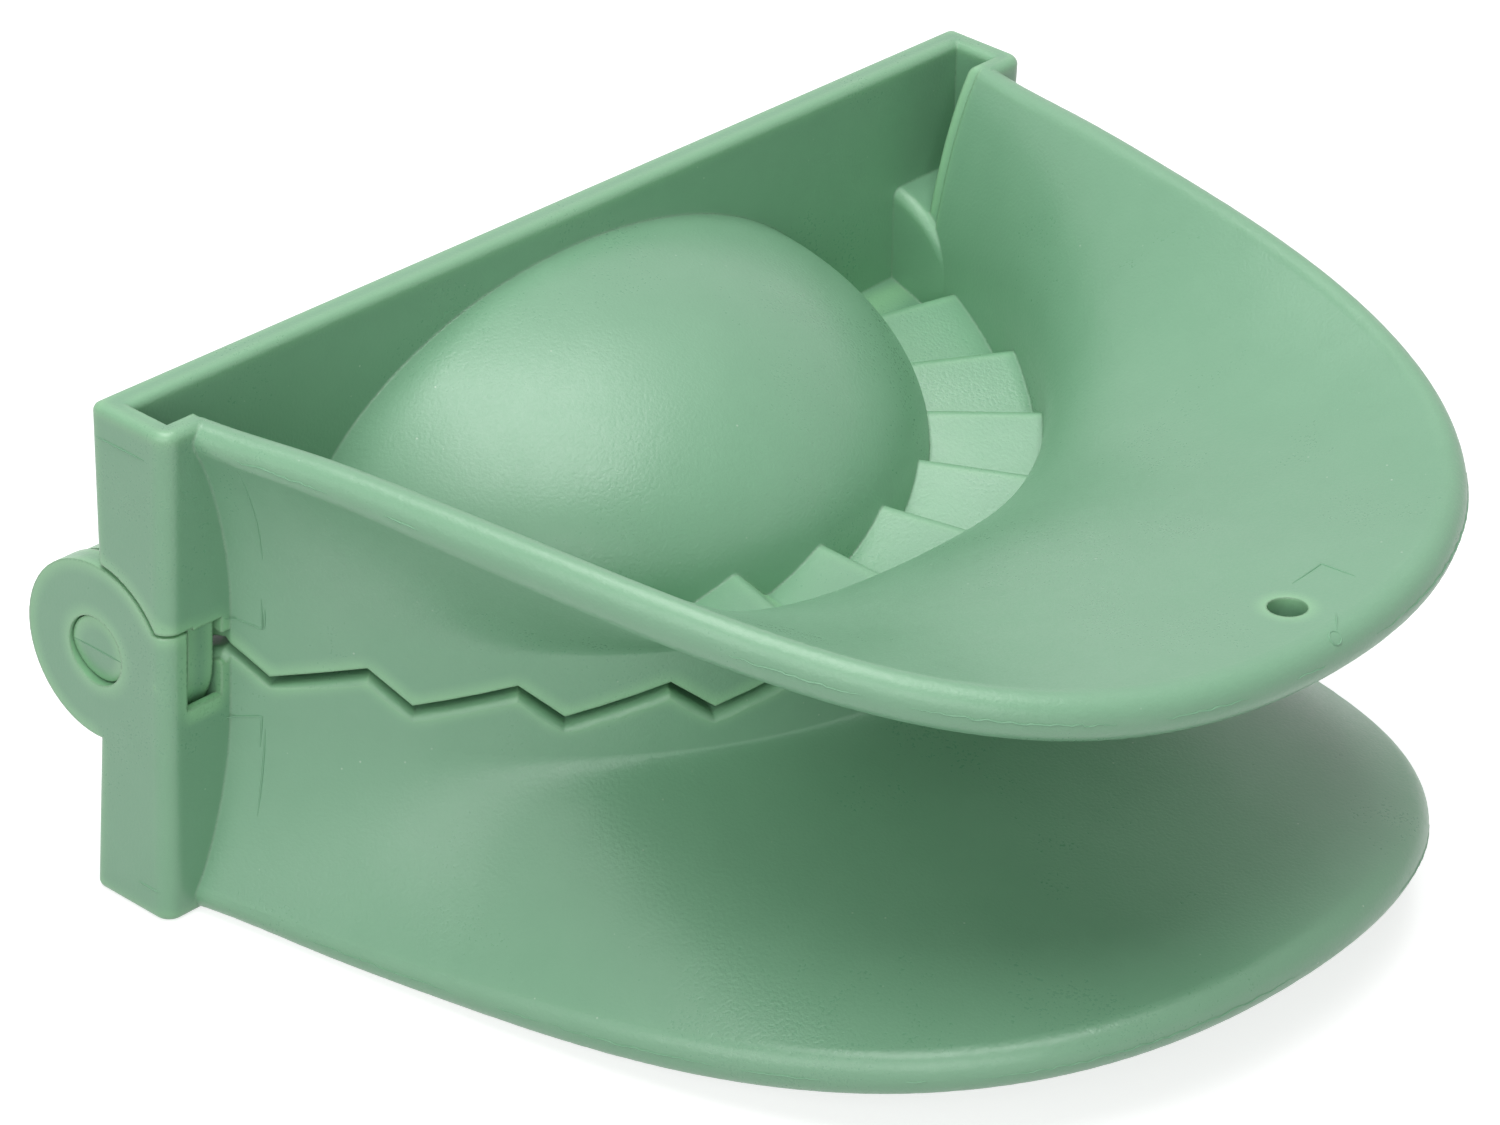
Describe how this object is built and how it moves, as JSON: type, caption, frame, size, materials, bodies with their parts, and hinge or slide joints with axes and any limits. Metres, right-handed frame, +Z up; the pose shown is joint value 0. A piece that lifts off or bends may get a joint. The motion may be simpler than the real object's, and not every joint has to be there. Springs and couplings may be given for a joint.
{
  "type": "empanada press",
  "caption": "Clam-shell dough press: two hinged moulded halves fold a disc over its filling and crimp the half-moon edge with radial saw teeth.",
  "frame": {"origin": "on the ground under the middle of the closed press's box", "axes": "+X along the hinge, -Y towards the mouth's lips, +Z up; the hinge axis is at the back, half way up"},
  "size_m": [0.1114, 0.0982, 0.048],
  "materials": {
    "lower_plastic": "satin green polypropylene",
    "upper_plastic": "satin green polypropylene"
  },
  "bodies": {
    "lower": {"lower_half": "lower_plastic"},
    "upper": {"upper_half": "upper_plastic"}
  },
  "joints": [
    {"name": "hinge", "type": "hinge", "parent": "lower", "child": "upper", "pos_m": [0, 0.04075, 0.024], "axis": [-1, 0, 0], "range_deg": [0, 177]}
  ]
}
